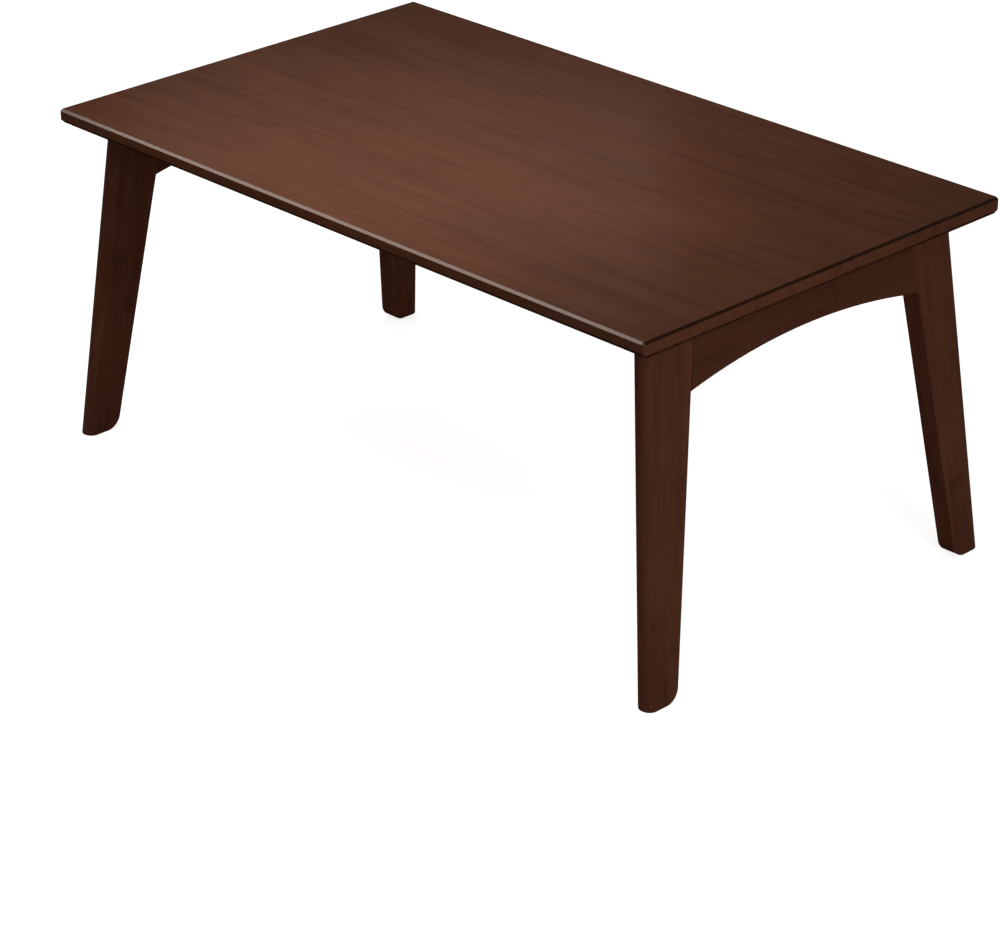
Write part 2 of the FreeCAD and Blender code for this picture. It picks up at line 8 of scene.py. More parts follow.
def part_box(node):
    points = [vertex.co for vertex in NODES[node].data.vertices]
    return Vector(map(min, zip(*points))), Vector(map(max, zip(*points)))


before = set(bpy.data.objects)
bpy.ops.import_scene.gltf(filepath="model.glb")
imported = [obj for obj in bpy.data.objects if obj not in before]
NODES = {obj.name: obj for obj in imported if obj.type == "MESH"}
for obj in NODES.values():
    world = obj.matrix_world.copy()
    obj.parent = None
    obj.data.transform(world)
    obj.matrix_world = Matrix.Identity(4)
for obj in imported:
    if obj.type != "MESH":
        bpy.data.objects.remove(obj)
bpy.context.view_layer.update()
SIDES = ("right", "left")
ENDS = ("front", "rear")
ALONG_X = (1, 0, 0)
ALONG_Y = (0, 1, 0)
ALONG_Z = (0, 0, 1)

# Node helpers

SOCKETS = {"vector": "NodeSocketVector", "colour": "NodeSocketColor", "value": "NodeSocketFloat"}


def new_group(name, inputs, outputs):
    """A shader node group with named sockets, and its two end nodes."""
    group = bpy.data.node_groups.new(name, "ShaderNodeTree")
    for label, kind, value in inputs:
        socket = group.interface.new_socket(label, in_out="INPUT", socket_type=SOCKETS[kind])
        if value is not None:
            socket.default_value = value
    for label, kind in outputs:
        group.interface.new_socket(label, in_out="OUTPUT", socket_type=SOCKETS[kind])
    start = group.nodes.new("NodeGroupInput")
    end = group.nodes.new("NodeGroupOutput")
    return group, start.outputs, end.inputs


def feed(tree, socket, value):
    """Links an output to the socket, or sets the socket to a plain value."""
    if isinstance(value, bpy.types.NodeSocket):
        tree.links.new(value, socket)
    else:
        socket.default_value = value


def feed_all(tree, node, values):
    for socket, value in zip(node.inputs, values):
        feed(tree, socket, value)


def maths(tree, operation, *values):
    node = tree.nodes.new("ShaderNodeMath")
    node.operation = operation
    feed_all(tree, node, values)
    return node.outputs[0]


def times(tree, first, second):
    return maths(tree, "MULTIPLY", first, second)


def times_plus(tree, value, factor, addend):
    return maths(tree, "MULTIPLY_ADD", value, factor, addend)


def vectors(tree, operation, *values):
    node = tree.nodes.new("ShaderNodeVectorMath")
    node.operation = operation
    feed_all(tree, node, values)
    return node.outputs["Value" if operation in ("DOT_PRODUCT", "LENGTH") else "Vector"]


def split(tree, vector):
    node = tree.nodes.new("ShaderNodeSeparateXYZ")
    feed(tree, node.inputs[0], vector)
    return node.outputs


def join(tree, x, y, z):
    node = tree.nodes.new("ShaderNodeCombineXYZ")
    feed_all(tree, node, (x, y, z))
    return node.outputs[0]


def smooth(tree, value, low, high, to_low=0.0, to_high=1.0):
    """A smooth step of the value from low to high."""
    node = tree.nodes.new("ShaderNodeMapRange")
    node.interpolation_type = "SMOOTHSTEP"
    for label, amount in (("Value", value), ("From Min", low), ("From Max", high),
                          ("To Min", to_low), ("To Max", to_high)):
        feed(tree, node.inputs[label], amount)
    return node.outputs["Result"]


def smooth_down(tree, value, low, high):
    """A smooth step from 1 at low to 0 at high."""
    return smooth(tree, value, low, high, 1.0, 0.0)


def noise(tree, place, detail=2.0, roughness=0.5, scale=1.0, distortion=0.0):
    node = tree.nodes.new("ShaderNodeTexNoise")
    feed(tree, node.inputs["Vector"], place)
    for label, amount in (("Scale", scale), ("Detail", detail), ("Roughness", roughness),
                          ("Distortion", distortion)):
        node.inputs[label].default_value = amount
    return node.outputs["Fac"]


def grain(tree, place, counts, **values):
    """Noise with its own number of waves to the metre in each direction."""
    return noise(tree, vectors(tree, "MULTIPLY", place, counts), **values)


def chance(tree, place):
    """Three random values for each whole-number place."""
    node = tree.nodes.new("ShaderNodeTexWhiteNoise")
    node.noise_dimensions = "3D"
    feed(tree, node.inputs["Vector"], place)
    return split(tree, node.outputs["Color"])


def blend(tree, share, first, second):
    node = tree.nodes.new("ShaderNodeMix")
    node.data_type = "RGBA"
    feed(tree, node.inputs["Factor"], share)
    feed(tree, node.inputs[6], first)
    feed(tree, node.inputs[7], second)
    return node.outputs[2]


def dim(tree, colour, tone):
    """The colour made lighter or darker by a factor."""
    node = tree.nodes.new("ShaderNodeVectorMath")
    node.operation = "SCALE"
    feed(tree, node.inputs[0], colour)
    feed(tree, node.inputs["Scale"], tone)
    return node.outputs["Vector"]


def dim_where(tree, colour, mask, change):
    """The colour, lighter or darker by the change where the mask is 1."""
    return dim(tree, colour, times_plus(tree, mask, change, 1.0))


def off_middle(tree, value):
    """A value from 0 to 1 measured from its middle."""
    return maths(tree, "SUBTRACT", value, 0.5)


def swing(tree, value, amount):
    """A factor round 1 that goes up and down by the amount as the value goes from 0 to 1."""
    return times_plus(tree, off_middle(tree, value), amount, 1.0)


def bump(tree, height, depth):
    node = tree.nodes.new("ShaderNodeBump")
    node.inputs["Strength"].default_value = 1.0
    node.inputs["Distance"].default_value = depth
    feed(tree, node.inputs["Height"], height)
    return node.outputs["Normal"]


def use_group(tree, group, **values):
    node = tree.nodes.new("ShaderNodeGroup")
    node.node_tree = group
    for label, value in values.items():
        feed(tree, node.inputs[label.replace("_", " ")], value)
    return node.outputs


def srgb(red, green, blue):
    """A colour given as it is seen on a screen, from 0 to 255."""
    linear = []
    for part in (red, green, blue):
        part = part / 255
        linear.append(part / 12.92 if part <= 0.04045 else ((part + 0.055) / 1.055) ** 2.4)
    return (*linear, 1.0)


def new_material(name):
    material = bpy.data.materials.new(name)
    material.use_nodes = True
    tree = material.node_tree
    return material, tree, tree.nodes["Principled BSDF"]


def wear(node_name, material):
    """Puts the material on the CAD node's own slots."""
    for slot in NODES[node_name].material_slots:
        slot.material = material


# Bamboo laid up from strips

# Waves to the metre along the fibres, across the strips and through the layers
FIBRE_GRAIN = (38.0, 1900.0, 1900.0)
LINE_GRAIN = (9.0, 700.0, 700.0)
DASH_GRAIN = (22.0, 380.0, 380.0)
WANDER_GRAIN = (90.0, 260.0, 260.0)
WISP_GRAIN = (5.0, 90.0, 90.0)
BROAD_GRAIN = (3.5, 46.0, 46.0)
CLOUD_GRAIN = (7.0, 12.0, 12.0)

# Places that keep the draws for layers, strips and lengths of stem apart
LAYER_DRAW = (3.7, 1.3)
STRIP_DRAW = 7.1
SEGMENT_DRAW = 40.0

# Growth nodes: where they lie in their share of the strip, and their reach in metres
NODE_SHIFT = 7.0
NODE_FIRST = 0.3
NODE_SPREAD = 0.4
NODE_WANDER = 0.006
NODE_LINE = (0.0004, 0.0016)
NODE_SHADE = (0.001, 0.010)
NODE_LEAST = 0.2
NODE_LUCK = 0.8
NODE_LINE_SHARE = 0.5

# Levels of the noise between which a mark fades in
DASHES = (0.52, 0.74)
WISPS = (0.42, 0.72)
LINES = (0.56, 0.7)
LINE_PATCHES = (0.45, 0.6)
PALE_FIBRES = (0.5, 0.75)
SEAM = (0.488, 0.5)

LINE_SHARE = 0.7
PALE_SHARE = 0.5
STRIP_SHARE = 0.45
SEGMENT_SHARE = 0.55
CLOUD_TONE = 0.32
BROAD_TONE = 0.28
SEAM_TONE = -0.22

CLOUD_GLOSS = 0.12
FIBRE_GLOSS = 0.10
DASH_GLOSS = 0.04
FIBRE_HEIGHT = 0.35
DASH_HEIGHT = 0.4
SEAM_HEIGHT = -0.5
NODE_HEIGHT = -0.25


def lay_strips(tree, y, z, given):
    """Numbers the layers and strips, and marks the glued seams between the strips."""
    layer = maths(tree, "FLOOR", maths(tree, "DIVIDE", z, given["Layer Height"]))
    layer_luck = chance(tree, join(tree, layer, *LAYER_DRAW))
    count = maths(tree, "ADD", maths(tree, "DIVIDE", y, given["Strip Width"]), layer_luck[0])
    strip = maths(tree, "FLOOR", count)
    from_middle = maths(tree, "ABSOLUTE", off_middle(tree, maths(tree, "FRACT", count)))
    return layer, strip, smooth(tree, from_middle, *SEAM)


def grow_strips(tree, place, x, layer, strip, given):
    """The growth nodes along each strip, their fine lines, and the tone of each strip."""
    strip_luck = chance(tree, join(tree, strip, layer, STRIP_DRAW))
    along = times_plus(tree, strip_luck[0], NODE_SHIFT,
                       maths(tree, "DIVIDE", x, given["Node Spacing"]))
    cell = maths(tree, "FLOOR", along)
    cell_luck = chance(tree, join(tree, cell, strip, layer))
    centre = times_plus(tree, cell_luck[0], NODE_SPREAD, NODE_FIRST)
    off_centre = maths(tree, "SUBTRACT", maths(tree, "FRACT", along), centre)
    wander = times(tree, off_middle(tree, grain(tree, place, WANDER_GRAIN)), NODE_WANDER)
    from_node = times_plus(tree, off_centre, given["Node Spacing"], wander)
    distance = maths(tree, "ABSOLUTE", from_node)
    line = smooth_down(tree, distance, *NODE_LINE)
    shade = smooth_down(tree, distance, *NODE_SHADE)

    depth = given["Node Depth"]
    shade_part = times(tree, times(tree, shade, depth),
                       times_plus(tree, cell_luck[1], NODE_LUCK, NODE_LEAST))
    line_part = times(tree, times(tree, line, depth), NODE_LINE_SHARE)

    segment = maths(tree, "ADD", cell, maths(tree, "GREATER_THAN", from_node, 0.0))
    apart = maths(tree, "ADD", layer, SEGMENT_DRAW)
    segment_luck = chance(tree, join(tree, segment, strip, apart))
    strip_tone = maths(tree, "ADD", times(tree, strip_luck[1], STRIP_SHARE),
                       times(tree, segment_luck[0], SEGMENT_SHARE))
    return line, maths(tree, "ADD", shade_part, line_part), strip_tone


def make_bamboo_group():
    """Stained bamboo strips glued side by side, with growth nodes, streaks and pale fibres."""
    tree, given, made = new_group(
        "laminated_bamboo",
        [("Place", "vector", None), ("Strip Width", "value", 0.021),
         ("Layer Height", "value", 0.005), ("Node Spacing", "value", 0.24),
         ("Stain", "colour", None), ("Deep Stain", "colour", None),
         ("Pale Stain", "colour", None), ("Strip Contrast", "value", 0.2),
         ("Streak Contrast", "value", 0.4), ("Wisp Contrast", "value", 0.3),
         ("Node Depth", "value", 0.4), ("Gloss", "value", 0.4)],
        [("Colour", "colour"), ("Roughness", "value"), ("Height", "value")])
    place = given["Place"]
    x, y, z = split(tree, place)
    layer, strip, seam = lay_strips(tree, y, z, given)
    node_line, node_mark, strip_tone = grow_strips(tree, place, x, layer, strip, given)

    dashes = grain(tree, place, DASH_GRAIN, detail=3.0, roughness=0.6)
    fibres = grain(tree, place, FIBRE_GRAIN, roughness=0.6)
    wisps = grain(tree, place, WISP_GRAIN, detail=4.0, roughness=0.55, distortion=0.3)
    lines = grain(tree, place, LINE_GRAIN)
    broad = grain(tree, place, BROAD_GRAIN)
    cloud = grain(tree, place, CLOUD_GRAIN)
    dash_mask = smooth(tree, dashes, *DASHES)
    line_mask = times(tree, smooth(tree, lines, *LINES), smooth(tree, broad, *LINE_PATCHES))

    deep = given["Deep Stain"]
    streaks = given["Streak Contrast"]
    wisp_part = times(tree, smooth(tree, wisps, *WISPS), given["Wisp Contrast"])
    colour = blend(tree, wisp_part, given["Stain"], deep)
    streak_part = maths(tree, "MAXIMUM", dash_mask, times(tree, line_mask, LINE_SHARE))
    colour = blend(tree, times(tree, streak_part, streaks), colour, deep)
    pale_part = times(tree, smooth(tree, fibres, *PALE_FIBRES), streaks)
    colour = blend(tree, times(tree, pale_part, PALE_SHARE), colour, given["Pale Stain"])
    colour = blend(tree, node_mark, colour, deep)
    tone = times(tree, swing(tree, strip_tone, given["Strip Contrast"]),
                 times(tree, swing(tree, cloud, CLOUD_TONE), swing(tree, broad, BROAD_TONE)))
    tone = times(tree, tone, times_plus(tree, seam, SEAM_TONE, 1.0))
    feed(tree, made["Colour"], dim(tree, colour, tone))

    gloss = times_plus(tree, off_middle(tree, cloud), CLOUD_GLOSS, given["Gloss"])
    gloss = times_plus(tree, off_middle(tree, fibres), FIBRE_GLOSS, gloss)
    feed(tree, made["Roughness"], times_plus(tree, dash_mask, DASH_GLOSS, gloss))
    height = times_plus(tree, fibres, FIBRE_HEIGHT, times(tree, dashes, DASH_HEIGHT))
    height = times_plus(tree, seam, SEAM_HEIGHT, height)
    feed(tree, made["Height"], times_plus(tree, node_line, NODE_HEIGHT, height))
    return tree


# Eased edges and lacquer

EDGE_SAMPLES = 6
EDGE_LIKENESS = (0.995, 0.86)
FACING_UP = (-0.2, 0.75)
LEAST_COVER = 0.1
PATCH_GRAIN = (5.0, 22.0, 22.0)
PATCH_SWING = 0.6


def make_edge_group():
    """How near a point is to an eased edge, from 0 on open faces to 1 on the edge."""
    tree, given, made = new_group("edge_tone", [("Reach", "value", 0.0015)], [("Mask", "value")])
    rounded = tree.nodes.new("ShaderNodeBevel")
    rounded.samples = EDGE_SAMPLES
    feed(tree, rounded.inputs["Radius"], given["Reach"])
    surface = tree.nodes.new("ShaderNodeNewGeometry")
    likeness = vectors(tree, "DOT_PRODUCT", rounded.outputs["Normal"], surface.outputs["Normal"])
    feed(tree, made["Mask"], smooth(tree, likeness, *EDGE_LIKENESS))
    return tree


def looking_up(tree):
    """From 1 where the surface looks straight up to -1 where it looks straight down."""
    surface = tree.nodes.new("ShaderNodeTexCoord")
    return split(tree, surface.outputs["Normal"])[2]


def make_lacquer_group():
    """Weight of the clear lacquer: full on top, thin on sides, almost none below."""
    tree, given, made = new_group(
        "lacquer_film",
        [("Place", "vector", None), ("Film", "value", 0.18), ("Edge", "value", 0.0),
         ("Edge Film", "value", 0.4)],
        [("Weight", "value")])
    cover = smooth(tree, looking_up(tree), *FACING_UP, LEAST_COVER, 1.0)
    patches = grain(tree, given["Place"], PATCH_GRAIN)
    film = times(tree, given["Film"], times(tree, cover, swing(tree, patches, PATCH_SWING)))
    edge = times(tree, given["Edge"], given["Edge Film"])
    feed(tree, made["Weight"], maths(tree, "MAXIMUM", film, edge))
    return tree


BAMBOO = make_bamboo_group()
EDGE_TONE = make_edge_group()
LACQUER = make_lacquer_group()


# Bamboo materials

BAMBOO_RELIEF = 0.00006
COAT_ROUGHNESS = 0.18
COAT_IOR = 1.5
THIN_FILM = 0.07

# place follows the fibres, and plain is the place on the whole object
Bamboo = namedtuple("Bamboo", "material tree shader place plain colour")


def place_along(tree, origin, along, across):
    """Object coordinates turned so that x runs along the fibres and y across the strips."""
    along = Vector(along).normalized()
    across = Vector(across)
    across = (across - along * across.dot(along)).normalized()
    through = along.cross(across)
    turn = Matrix((along, across, through)).transposed().to_euler()
    coordinates = tree.nodes.new("ShaderNodeTexCoord")
    mapping = tree.nodes.new("ShaderNodeMapping")
    mapping.vector_type = "TEXTURE"
    tree.links.new(coordinates.outputs["Object"], mapping.inputs["Vector"])
    mapping.inputs["Location"].default_value = origin
    mapping.inputs["Rotation"].default_value = turn
    return mapping.outputs["Vector"], coordinates.outputs["Object"]


def bamboo_board(tree, place, stains, **values):
    """The bamboo group, with a stain, a deeper one for streaks and a paler one for fibres."""
    stain, deep, pale = stains
    return use_group(tree, BAMBOO, Place=place, Stain=stain, Deep_Stain=deep, Pale_Stain=pale,
                     **values)


def bamboo_material(name, origin, along, across, stains, edge, **values):
    """Stained and lacquered bamboo with its fibres along one direction, and painted shade on its
    eased edges.
    """
    material, tree, shader = new_material(name)
    place, plain = place_along(tree, origin, along, across)
    board = bamboo_board(tree, place, stains, **values)
    # Painted shade: the eased edges are darkened by the edge factor, standing for the dark lines
    # that shade and dark reflections leave along them.
    mask = use_group(tree, EDGE_TONE)["Mask"]
    colour = dim_where(tree, board["Colour"], mask, -edge)
    feed(tree, shader.inputs["Base Color"], colour)
    feed(tree, shader.inputs["Roughness"], board["Roughness"])
    feed(tree, shader.inputs["Normal"], bump(tree, board["Height"], BAMBOO_RELIEF))
    film = use_group(tree, LACQUER, Place=place, Film=THIN_FILM)
    feed(tree, shader.inputs["Coat Weight"], film["Weight"])
    shader.inputs["Specular IOR Level"].default_value = 0.0
    shader.inputs["Coat Roughness"].default_value = COAT_ROUGHNESS
    shader.inputs["Coat IOR"].default_value = COAT_IOR
    return Bamboo(material, tree, shader, place, plain, colour)


# The tabletop

TOP_LOW, TOP_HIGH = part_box("tabletop")
TOP_BEVEL = 0.0024
BEVEL_BLUR = 0.0002
UNDER_SKIN = 0.0004
UNDER_SLANT = (-0.97, -0.9)
UNDER_SIDE = (-0.3, -0.15)

TOP_STAINS = (srgb(93, 56, 39), srgb(74, 40, 28), srgb(118, 80, 63))
UNDER_STAINS = (srgb(106, 68, 46), srgb(62, 33, 20), srgb(132, 92, 64))
TOP_ORIGIN = (0.013, 0.007, TOP_LOW.z)
TOP_STRIPS = {"Strip_Width": 0.022, "Node_Spacing": 0.26}
TOP_FILM = 0.03
# Painted shade on the planed upper edges of the top: the long ones a little darker, the ends much
# darker, the ends partly also from end grain taking more stain
LONG_BEVEL_SHADE = 0.8
END_BEVEL_STAIN_AND_SHADE = 0.22
# Painted shade on the faces planed off below the top, which look down
UNDER_BEVEL_SHADE = 0.42


def past_bevel(tree, value, edge):
    """1 from the inner line of the planed upper edge to the edge of the top."""
    start = edge - TOP_BEVEL
    return smooth(tree, value, start, start + BEVEL_BLUR)


def bevel_masks(tree, plain):
    """Two masks for the planed upper edges of the top: along its long sides, and at its ends."""
    x, y, z = split(tree, vectors(tree, "ABSOLUTE", plain))
    upward = past_bevel(tree, z, TOP_HIGH.z)
    at_end = past_bevel(tree, x, TOP_HIGH.x)
    at_side = past_bevel(tree, y, TOP_HIGH.y)
    return times(tree, at_side, upward), times(tree, at_end, upward)


def under_bevel_shade_mask(tree):
    """1 on the faces planed off below, which look down at a slant, and 0 on the rest: where
    painted shade is put.
    """
    upward = looking_up(tree)
    slanting = smooth_down(tree, upward, *UNDER_SIDE)
    return times(tree, slanting, smooth(tree, upward, *UNDER_SLANT))


def dress_tabletop():
    top = bamboo_material(
        "tabletop_bamboo", TOP_ORIGIN, ALONG_X, ALONG_Y, TOP_STAINS, edge=0.0,
        Strip_Contrast=0.06, Streak_Contrast=0.35, Wisp_Contrast=0.5, Node_Depth=0.08,
        Gloss=0.40, **TOP_STRIPS)
    tree = top.tree
    below = bamboo_board(
        tree, top.place, UNDER_STAINS, Strip_Contrast=0.22, Streak_Contrast=0.45,
        Wisp_Contrast=0.3, Node_Depth=0.36, Gloss=0.5, **TOP_STRIPS)
    height = split(tree, top.plain)[2]
    under = smooth_down(tree, height, TOP_LOW.z, TOP_LOW.z + UNDER_SKIN)
    colour = blend(tree, under, top.colour, below["Colour"])
    side_bevel, end_bevel = bevel_masks(tree, top.plain)
    # Painted shade: the planed upper edges are darkened, the ends the most, partly also for their
    # end grain.
    colour = dim_where(tree, colour, side_bevel, LONG_BEVEL_SHADE - 1)
    colour = dim_where(tree, colour, end_bevel, END_BEVEL_STAIN_AND_SHADE - 1)
    # Painted shade: the faces planed off below are darkened as if they lay in shade.
    colour = dim_where(tree, colour, under_bevel_shade_mask(tree), UNDER_BEVEL_SHADE - 1)
    feed(tree, top.shader.inputs["Base Color"], colour)
    film = use_group(tree, LACQUER, Place=top.place, Film=TOP_FILM, Edge=side_bevel,
                     Edge_Film=1.0)
    feed(tree, top.shader.inputs["Coat Weight"], film["Weight"])
    wear("tabletop", top.material)


# Legs and rails

FRAME_STAINS = (srgb(92, 54, 38), srgb(62, 31, 20), srgb(112, 72, 52))
# The rails' stain is darker than the legs': partly their own tone, partly painted shade from the
# overhang of the top.
RAIL_STAINS_AND_SHADE = (srgb(82, 48, 33), srgb(57, 29, 19), srgb(102, 67, 49))
# edge: how far painted shade darkens the eased edges
FRAME_PATTERN = {"edge": 0.35, "Strip_Contrast": 0.2, "Streak_Contrast": 0.26,
                 "Wisp_Contrast": 0.4, "Node_Depth": 0.3, "Gloss": 0.42}
LEG_LEAN = math.radians(6.4)
LEG_SPLAY = math.radians(6.45)
FRAME_X = 0.362
LEG_Y = 0.177
RAIL_Y = 0.011


def outward(side):
    """1 towards the right end of the table, and -1 towards the left."""
    return 1 if side == "right" else -1


def down_the_frame(side, sideways):
    """The direction in which a leg frame leans outwards, down to the floor."""
    return outward(side) * math.sin(LEG_LEAN), sideways, -math.cos(LEG_LEAN)


def dress_leg(side, end):
    name = f"{side}_{end}_leg"
    out_y = 1 if end == "rear" else -1
    origin = (outward(side) * FRAME_X, out_y * LEG_Y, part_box(name)[1].z)
    leg = bamboo_material(
        f"{name}_bamboo", origin, down_the_frame(side, out_y * math.tan(LEG_SPLAY)), ALONG_Y,
        FRAME_STAINS, Strip_Width=0.0205, Node_Spacing=0.21, **FRAME_PATTERN)
    wear(name, leg.material)


def dress_rail(side):
    name = f"{side}_apron_rail"
    origin = (outward(side) * FRAME_X, RAIL_Y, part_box(name)[1].z)
    rail = bamboo_material(
        f"{name}_bamboo", origin, ALONG_Y, down_the_frame(side, 0), RAIL_STAINS_AND_SHADE,
        Strip_Width=0.0215, Node_Spacing=0.23, **FRAME_PATTERN)
    wear(name, rail.material)


# Strip, block and dowels

STRIP_STAINS = (srgb(104, 66, 46), srgb(66, 36, 24), srgb(128, 88, 64))
BARE_STAINS = (srgb(214, 178, 128), srgb(168, 122, 76), srgb(232, 204, 160))
# Painted highlight round the screw holes: its colour and share
RIM_HIGHLIGHT = srgb(176, 132, 92)
RIM_HIGHLIGHT_SHARE = 0.75
SCREW_X = 0.0325
RIM_RADIUS = 0.0046
RIM_BLUR = 0.0007
STRIP_ORIGIN = (0.05, -0.0195)
BLOCK_ORIGIN = (0.02, -0.0175)
DOWEL_ORIGIN = (0, 0, 0.29)


def dress_lock_strip():
    """The strip, with a pale ring painted round its two screw holes as the highlight on their
    rims.
    """
    strip = bamboo_material(
        "lock_strip_bamboo", (*STRIP_ORIGIN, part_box("lock_strip")[0].z), ALONG_X, ALONG_Y,
        STRIP_STAINS, edge=0.3, Strip_Width=0.0195, Node_Spacing=0.25, Strip_Contrast=0.15,
        Streak_Contrast=0.45, Node_Depth=0.35, Gloss=0.4)
    tree = strip.tree
    across = split(tree, vectors(tree, "ABSOLUTE", strip.plain))
    beside = join(tree, maths(tree, "SUBTRACT", across[0], SCREW_X), across[1], 0.0)
    from_screw = vectors(tree, "LENGTH", beside)
    # Painted highlight: pale colour within the rim of each screw hole.
    rim_highlight = smooth(tree, from_screw, RIM_RADIUS, RIM_RADIUS + RIM_BLUR, RIM_HIGHLIGHT_SHARE, 0.0)
    colour = blend(tree, rim_highlight, strip.colour, RIM_HIGHLIGHT)
    feed(tree, strip.shader.inputs["Base Color"], colour)
    wear("lock_strip", strip.material)


def dress_block():
    block = bamboo_material(
        "spacer_block_bamboo", (*BLOCK_ORIGIN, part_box("strip_spacer_block")[0].z), ALONG_X,
        ALONG_Y, FRAME_STAINS, edge=0.3, Strip_Width=0.018, Node_Spacing=0.25,
        Strip_Contrast=0.15, Streak_Contrast=0.45, Node_Depth=0.3, Gloss=0.45)
    wear("strip_spacer_block", block.material)


def bare_bamboo():
    return bamboo_material(
        "dowel_bamboo", DOWEL_ORIGIN, ALONG_Y, ALONG_Z, BARE_STAINS, edge=0.1,
        Strip_Width=0.008, Node_Spacing=0.2, Strip_Contrast=0.15, Streak_Contrast=0.5,
        Node_Depth=0.2, Gloss=0.6).material


# Metal

RUB_GRAIN = (900.0, 70.0, 900.0)
PATCH_SCALE = 260.0
GRIME_SCALE = 90.0
RUBS = (0.55, 0.7)
DULL_PATCHES = (0.42, 0.68)
DULL_SHARE = 0.55
GRIME_TONE = 0.35
RUB_TONE = 0.18
PATCH_GLOSS = 0.3
RUB_GLOSS = -0.06
RUB_HEIGHT = 0.6
PATCH_HEIGHT = 0.4
METAL_RELIEF = 0.00002
METAL_EDGE_REACH = 0.0004


def make_plate_group():
    """Plated metal with soft dull patches, grime and fine rubbing marks."""
    tree, given, made = new_group(
        "plated_metal",
        [("Place", "vector", None), ("Metal", "colour", None), ("Dull", "colour", None),
         ("Gloss", "value", 0.35), ("Rubbing", "value", 0.5)],
        [("Colour", "colour"), ("Roughness", "value"), ("Height", "value")])
    place = given["Place"]
    patches = noise(tree, place, detail=3.0, roughness=0.55, scale=PATCH_SCALE)
    grime = noise(tree, place, detail=3.0, roughness=0.6, scale=GRIME_SCALE)
    rubs = grain(tree, place, RUB_GRAIN, roughness=0.6)
    marks = smooth(tree, rubs, *RUBS)
    dull_share = times(tree, smooth(tree, patches, *DULL_PATCHES), DULL_SHARE)
    colour = blend(tree, dull_share, given["Metal"], given["Dull"])
    colour = dim(tree, colour, swing(tree, grime, GRIME_TONE))
    colour = dim_where(tree, colour, times(tree, marks, given["Rubbing"]), RUB_TONE)
    feed(tree, made["Colour"], colour)
    gloss = times_plus(tree, off_middle(tree, patches), PATCH_GLOSS, given["Gloss"])
    feed(tree, made["Roughness"], times_plus(tree, marks, RUB_GLOSS, gloss))
    height = times_plus(tree, rubs, RUB_HEIGHT, times(tree, patches, PATCH_HEIGHT))
    feed(tree, made["Height"], height)
    return tree


PLATED = make_plate_group()


def metal_material(name, metal, dull, gloss, rubbing, metallic, edge_lift):
    """Plated metal whose edges are rubbed brighter."""
    material, tree, shader = new_material(name)
    coordinates = tree.nodes.new("ShaderNodeTexCoord")
    plate = use_group(tree, PLATED, Place=coordinates.outputs["Object"], Metal=metal, Dull=dull,
                      Gloss=gloss, Rubbing=rubbing)
    mask = use_group(tree, EDGE_TONE, Reach=METAL_EDGE_REACH)["Mask"]
    feed(tree, shader.inputs["Base Color"], dim_where(tree, plate["Colour"], mask, edge_lift))
    feed(tree, shader.inputs["Roughness"], plate["Roughness"])
    feed(tree, shader.inputs["Normal"], bump(tree, plate["Height"], METAL_RELIEF))
    shader.inputs["Metallic"].default_value = metallic
    return material


# Dressing the pieces

dress_tabletop()
for side in SIDES:
    dress_rail(side)
    for end in ENDS:
        dress_leg(side, end)
dress_lock_strip()
dress_block()

dowel_bamboo = bare_bamboo()
hinge_zinc = metal_material(
    "hinge_zinc", metal=srgb(190, 187, 180), dull=srgb(140, 136, 128), gloss=0.34,
    rubbing=0.6, metallic=1.0, edge_lift=0.25)
screw_zinc = metal_material(
    "screw_zinc", metal=srgb(184, 180, 172), dull=srgb(128, 122, 114), gloss=0.38,
    rubbing=0.4, metallic=1.0, edge_lift=0.3)
black_oxide = metal_material(
    "black_oxide", metal=srgb(34, 33, 34), dull=srgb(20, 19, 19), gloss=0.42,
    rubbing=0.5, metallic=0.6, edge_lift=0.9)
wear("strip_screws", black_oxide)
CORNER_FINISHES = {
    "joint_dowels": dowel_bamboo,
    "hinge_table_leaf": hinge_zinc,
    "hinge_frame_leaf": hinge_zinc,
    "hinge_pin": hinge_zinc,
    "table_leaf_screws": screw_zinc,
    "frame_leaf_screws": screw_zinc,
}
for side in SIDES:
    for end in ENDS:
        for piece, finish in CORNER_FINISHES.items():
            wear(f"{side}_{end}_{piece}", finish)


# Floor and air

PURE_WHITE = (1, 1, 1, 1)
FLOOR_WHITE = (0.9, 0.9, 0.9, 1.0)
FLOOR_BOUNCE = (0.25, 0.25, 0.25, 1.0)
FLOOR_GLOW = 0.77
FLOOR_SIZE = 60
FLOOR_HEIGHT = -0.0003
AIR_TINT = (1.0, 0.985, 0.97, 1.0)
AIR_LEVEL = 0.28


def seen_directly(tree):
    """1 for rays from the camera, and for those that metal and glass mirror."""
    path = tree.nodes.new("ShaderNodeLightPath")
    share = maths(tree, "MAXIMUM", path.outputs["Is Camera Ray"], path.outputs["Is Glossy Ray"])
    return maths(tree, "MAXIMUM", share, path.outputs["Is Transmission Ray"])


def plain_shader(tree, kind, **values):
    """A shader node with plain values, such as a diffuse one of a colour."""
    node = tree.nodes.new(kind)
    for label, value in values.items():
        node.inputs[label].default_value = value
    return node.outputs[0]


def mixed_shader(tree, share, first, second):
    node = tree.nodes.new("ShaderNodeMixShader")
    feed_all(tree, node, (share, first, second))
    return node.outputs[0]


